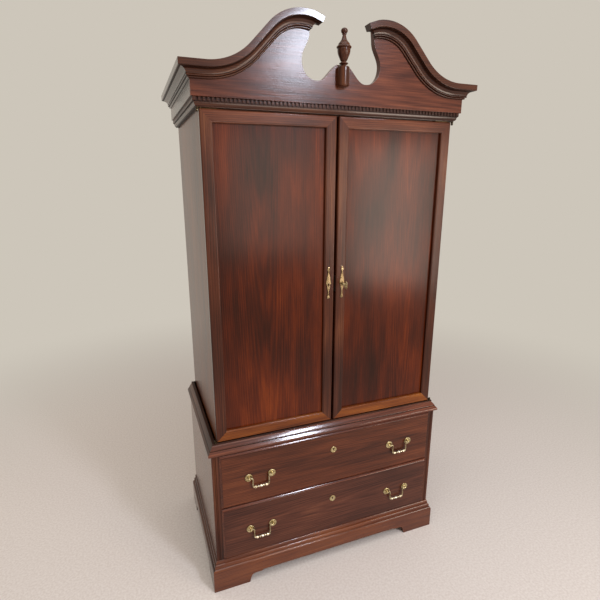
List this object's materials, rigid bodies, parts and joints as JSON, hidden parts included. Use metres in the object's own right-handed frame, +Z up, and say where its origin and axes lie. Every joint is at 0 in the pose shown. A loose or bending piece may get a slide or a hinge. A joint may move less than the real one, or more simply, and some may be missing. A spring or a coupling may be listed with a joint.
{
  "type": "television armoire",
  "caption": "Television armoire with panelled doors over lipped drawers, on bracket feet, with a broken swan-neck pediment, dentils and a turned finial",
  "frame": {"origin": "on the floor under the middle of the armoire's width and depth", "axes": "+X to the right of someone facing the doors, +Y to the back, +Z up"},
  "size_m": [1.013, 0.6, 2.0039],
  "materials": {
    "wood": "cherry-stained wood under satin-gloss lacquer",
    "inner_wood": "unfinished inner boards and backs",
    "brass": "antiqued polished brass",
    "lock_steel": "plain steel lock case and bolt"
  },
  "bodies": {
    "case": {"lower_side_left": "wood", "face_stile_left": "wood", "base_left": "wood", "upper_side_left": "wood", "hinge_left_top": "brass", "hinge_left_bottom": "brass", "frieze_left": "wood", "crown_arch_left": "wood", "crown_return_left": "wood", "lower_side_right": "wood", "face_stile_right": "wood", "base_right": "wood", "upper_side_right": "wood", "hinge_right_top": "brass", "hinge_right_bottom": "brass", "frieze_right": "wood", "crown_arch_right": "wood", "crown_return_right": "wood", "lower_bottom": "wood", "drawer_divider": "wood", "waist_top": "wood", "base_front": "wood", "upper_bottom": "wood", "upper_top": "wood", "tv_shelf": "wood", "dentil_band": "wood", "pediment_board": "wood", "finial": "wood", "lower_back": "inner_wood", "base_rear": "inner_wood", "upper_back": "inner_wood"},
    "door_left": {"door_left_frame": "wood", "door_left_panel": "wood", "door_left_plate": "brass"},
    "door_right": {"door_right_frame": "wood", "door_right_panel": "wood", "door_right_plate": "brass", "door_lock": "lock_steel"},
    "door_key": {"door_key": "brass"},
    "lock_bolt": {"lock_bolt": "lock_steel"},
    "drawer_upper": {"drawer_upper_front": "wood", "drawer_upper_box": "inner_wood", "drawer_upper_bottom": "inner_wood", "drawer_upper_escutcheon": "brass", "pull_upper_left_post_left": "brass", "pull_upper_left_post_right": "brass", "pull_upper_right_post_left": "brass", "pull_upper_right_post_right": "brass"},
    "bail_upper_left": {"pull_upper_left_bail": "brass"},
    "bail_upper_right": {"pull_upper_right_bail": "brass"},
    "drawer_lower": {"drawer_lower_front": "wood", "drawer_lower_box": "inner_wood", "drawer_lower_bottom": "inner_wood", "drawer_lower_escutcheon": "brass", "pull_lower_left_post_left": "brass", "pull_lower_left_post_right": "brass", "pull_lower_right_post_left": "brass", "pull_lower_right_post_right": "brass"},
    "bail_lower_left": {"pull_lower_left_bail": "brass"},
    "bail_lower_right": {"pull_lower_right_bail": "brass"}
  },
  "joints": [
    {"name": "door_left_hinge", "type": "hinge", "parent": "case", "child": "door_left", "pos_m": [-0.4545, -0.246, 1.176], "axis": [0, 0, -1], "range_deg": [0, 268]},
    {"name": "door_right_hinge", "type": "hinge", "parent": "case", "child": "door_right", "pos_m": [0.4545, -0.246, 1.176], "axis": [0, 0, 1], "range_deg": [0, 262]},
    {"name": "door_key_turn", "type": "hinge", "parent": "door_right", "child": "door_key", "pos_m": [0.0265, -0.27, 1.1665], "axis": [0, -1, 0], "range_deg": [0, 90]},
    {"name": "lock_bolt_slide", "type": "slide", "parent": "door_right", "child": "lock_bolt", "axis": [-1, 0, 0], "range_m": [0, 0.014]},
    {"name": "drawer_upper_slide", "type": "slide", "parent": "case", "child": "drawer_upper", "axis": [0, -1, 0], "range_m": [0, 0.38]},
    {"name": "bail_upper_left_swing", "type": "hinge", "parent": "drawer_upper", "child": "bail_upper_left", "pos_m": [-0.299, -0.275, 0.466], "axis": [-1, 0, 0], "range_deg": [-7, 95]},
    {"name": "bail_upper_right_swing", "type": "hinge", "parent": "drawer_upper", "child": "bail_upper_right", "pos_m": [0.299, -0.275, 0.466], "axis": [-1, 0, 0], "range_deg": [-7, 95]},
    {"name": "drawer_lower_slide", "type": "slide", "parent": "case", "child": "drawer_lower", "axis": [0, -1, 0], "range_m": [0, 0.38]},
    {"name": "bail_lower_left_swing", "type": "hinge", "parent": "drawer_lower", "child": "bail_lower_left", "pos_m": [-0.299, -0.275, 0.2415], "axis": [-1, 0, 0], "range_deg": [-7, 95]},
    {"name": "bail_lower_right_swing", "type": "hinge", "parent": "drawer_lower", "child": "bail_lower_right", "pos_m": [0.299, -0.275, 0.2415], "axis": [-1, 0, 0], "range_deg": [-7, 95]}
  ],
  "couplings": [
    {"joint": "lock_bolt_slide", "follows": "door_key_turn", "m_per_rad": 0.0089126}
  ]
}
